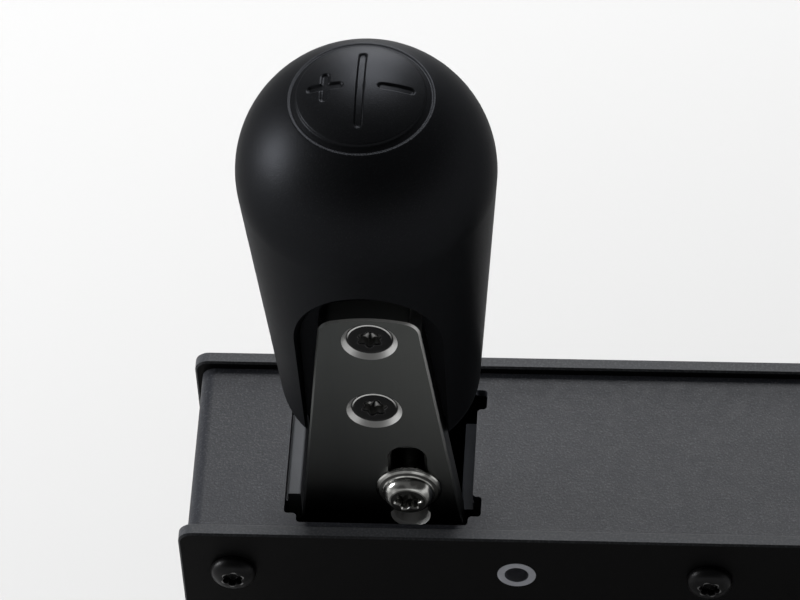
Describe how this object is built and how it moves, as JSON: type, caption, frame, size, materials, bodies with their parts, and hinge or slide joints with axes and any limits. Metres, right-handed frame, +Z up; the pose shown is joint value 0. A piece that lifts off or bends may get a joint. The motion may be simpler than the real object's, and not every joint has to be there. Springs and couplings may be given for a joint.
{
  "type": "sim racing gear shifter",
  "caption": "Sequential gear shifter for driving games: slim steel case, rocking lever held by facing magnets, height-adjustable blade and a pear-shaped knob.",
  "frame": {"origin": "middle of the case's underside, the face that rests on a desk or bolts to a rig", "axes": "+Z up along the lever, +Y to the far side of the case, +X along the case towards the magnet adjuster"},
  "size_m": [0.183, 0.0536, 0.2113],
  "materials": {
    "case_steel": "fine speckled black powder coat",
    "base_metal": "black anodised",
    "steel_screws": "stainless, bright",
    "dark_screws": "black oxide, brighter along worn edges",
    "zinc_steel": "zinc plated",
    "ground_steel": "ground and polished",
    "lever_steel": "satin black, thin bright chamfers",
    "magnet_plating": "nickel plated",
    "block_metal": "milled, plain",
    "knob_plastic": "soft matte black",
    "insert_brass": "plain",
    "pad_rubber": "smooth dark grey",
    "board_laminate": "green solder mask",
    "chip_plastic": "black moulded package",
    "socket_metal": "nickel plated shell"
  },
  "bodies": {
    "housing": {"side_plate_near": "case_steel", "side_plate_far": "case_steel", "top_cover": "case_steel", "base_plate": "base_metal", "cross_spacers": "zinc_steel", "spacer_screws": "dark_screws", "base_screws": "dark_screws", "cover_screws": "steel_screws", "press_nuts": "zinc_steel", "pivot_shaft": "ground_steel", "shaft_screws": "dark_screws", "shaft_sleeve_near": "zinc_steel", "shaft_sleeve_far": "zinc_steel", "magnet_rail": "ground_steel", "rail_screws": "steel_screws", "bump_pad_rear": "pad_rubber", "bump_pad_front": "pad_rubber", "sensor_board": "board_laminate", "hall_sensor": "chip_plastic", "controller_chip": "chip_plastic", "board_standoffs": "zinc_steel", "board_screws": "steel_screws", "usb_socket": "socket_metal"},
    "lever": {"lever_arm": "lever_steel", "arm_magnet": "magnet_plating", "sensor_magnet": "magnet_plating", "clamp_screw": "steel_screws", "guide_pin": "ground_steel", "bearing_near": "ground_steel", "bearing_far": "ground_steel"},
    "handle": {"lever_blade": "lever_steel", "knob": "knob_plastic", "knob_screws": "dark_screws", "knob_inserts": "insert_brass"},
    "carriage": {"magnet_block": "block_metal", "fixed_magnet": "magnet_plating"},
    "adjuster": {"adjuster_screw": "steel_screws", "adjuster_collar": "zinc_steel"}
  },
  "joints": [
    {"name": "lever_tilt", "type": "hinge", "parent": "housing", "child": "lever", "pos_m": [-0.048, 0, 0.028], "axis": [0, 1, 0], "range_deg": [-2.4, 2.4], "stiffness_Nm_per_rad": 60},
    {"name": "handle_height", "type": "slide", "parent": "lever", "child": "handle", "axis": [0, 0, 1], "range_m": [-0.009, 0.009]},
    {"name": "adjuster_turn", "type": "hinge", "parent": "housing", "child": "adjuster", "pos_m": [0.0885, 0, 0.028], "axis": [1, 0, 0], "range_deg": [-1440, 1008]},
    {"name": "carriage_slide", "type": "slide", "parent": "housing", "child": "carriage", "axis": [1, 0, 0], "range_m": [-0.0035, 0.005]}
  ],
  "couplings": [
    {"joint": "adjuster_turn", "follows": "carriage_slide", "rad_per_m": -5026.5}
  ]
}
